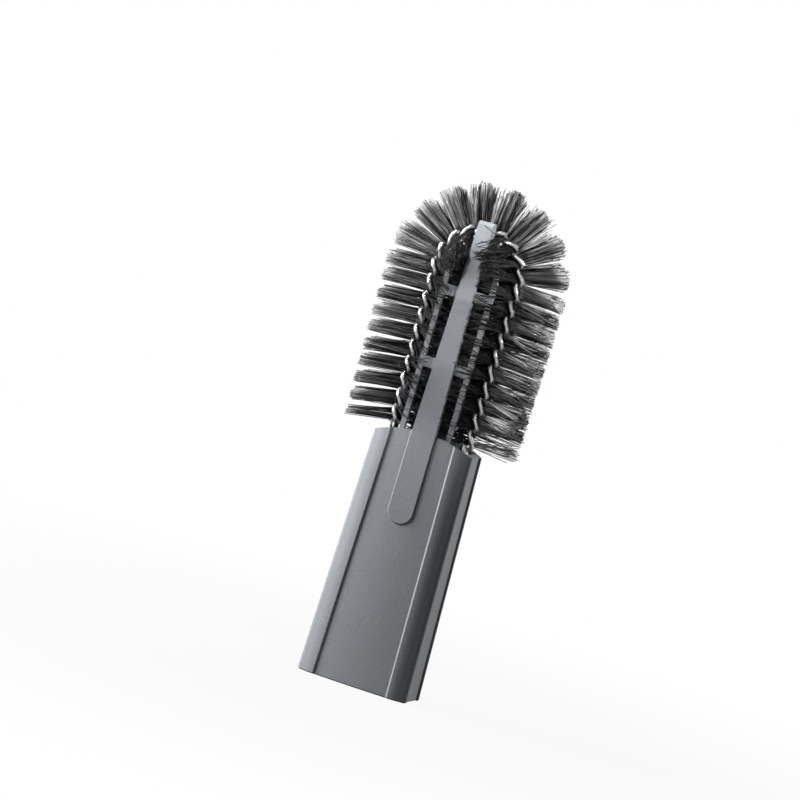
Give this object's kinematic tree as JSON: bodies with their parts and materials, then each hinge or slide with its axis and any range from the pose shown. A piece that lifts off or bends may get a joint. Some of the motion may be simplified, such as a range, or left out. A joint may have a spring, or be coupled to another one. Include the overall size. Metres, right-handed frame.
{
  "type": "vacuum radiator brush",
  "caption": "Push-on vacuum brush for radiators: a tapered grey sleeve and open grille that hold a U-shaped loop of twisted wire set with black bristles.",
  "frame": {"origin": "middle of the sleeve's mouth, in the plane of its rim", "axes": "+Z along the brush from the mouth to the tip, +X along the wide side, -Y out of the front"},
  "size_m": [0.0706, 0.0362, 0.2018],
  "materials": {
    "body_plastic": "satin, fine moulded grain",
    "wire_steel": "bright drawn wire",
    "bristle_nylon": "fine black filaments"
  },
  "bodies": {
    "root": {"front_shell": "body_plastic", "back_shell": "body_plastic", "wire_strand_a": "wire_steel", "wire_strand_b": "wire_steel", "bristle_turn_01": "bristle_nylon", "bristle_turn_02": "bristle_nylon", "bristle_turn_03": "bristle_nylon", "bristle_turn_04": "bristle_nylon", "bristle_turn_05": "bristle_nylon", "bristle_turn_06": "bristle_nylon", "bristle_turn_07": "bristle_nylon", "bristle_turn_08": "bristle_nylon", "bristle_turn_09": "bristle_nylon", "bristle_turn_10": "bristle_nylon", "bristle_turn_11": "bristle_nylon", "bristle_turn_12": "bristle_nylon", "bristle_turn_13": "bristle_nylon", "bristle_turn_14": "bristle_nylon", "bristle_turn_15": "bristle_nylon", "bristle_turn_16": "bristle_nylon", "bristle_turn_17": "bristle_nylon", "bristle_turn_18": "bristle_nylon", "bristle_turn_19": "bristle_nylon", "bristle_turn_20": "bristle_nylon", "bristle_turn_21": "bristle_nylon", "bristle_turn_22": "bristle_nylon", "bristle_turn_23": "bristle_nylon", "bristle_turn_24": "bristle_nylon", "bristle_turn_25": "bristle_nylon", "bristle_turn_26": "bristle_nylon", "bristle_turn_27": "bristle_nylon", "bristle_turn_28": "bristle_nylon"}
  },
  "joints": []
}
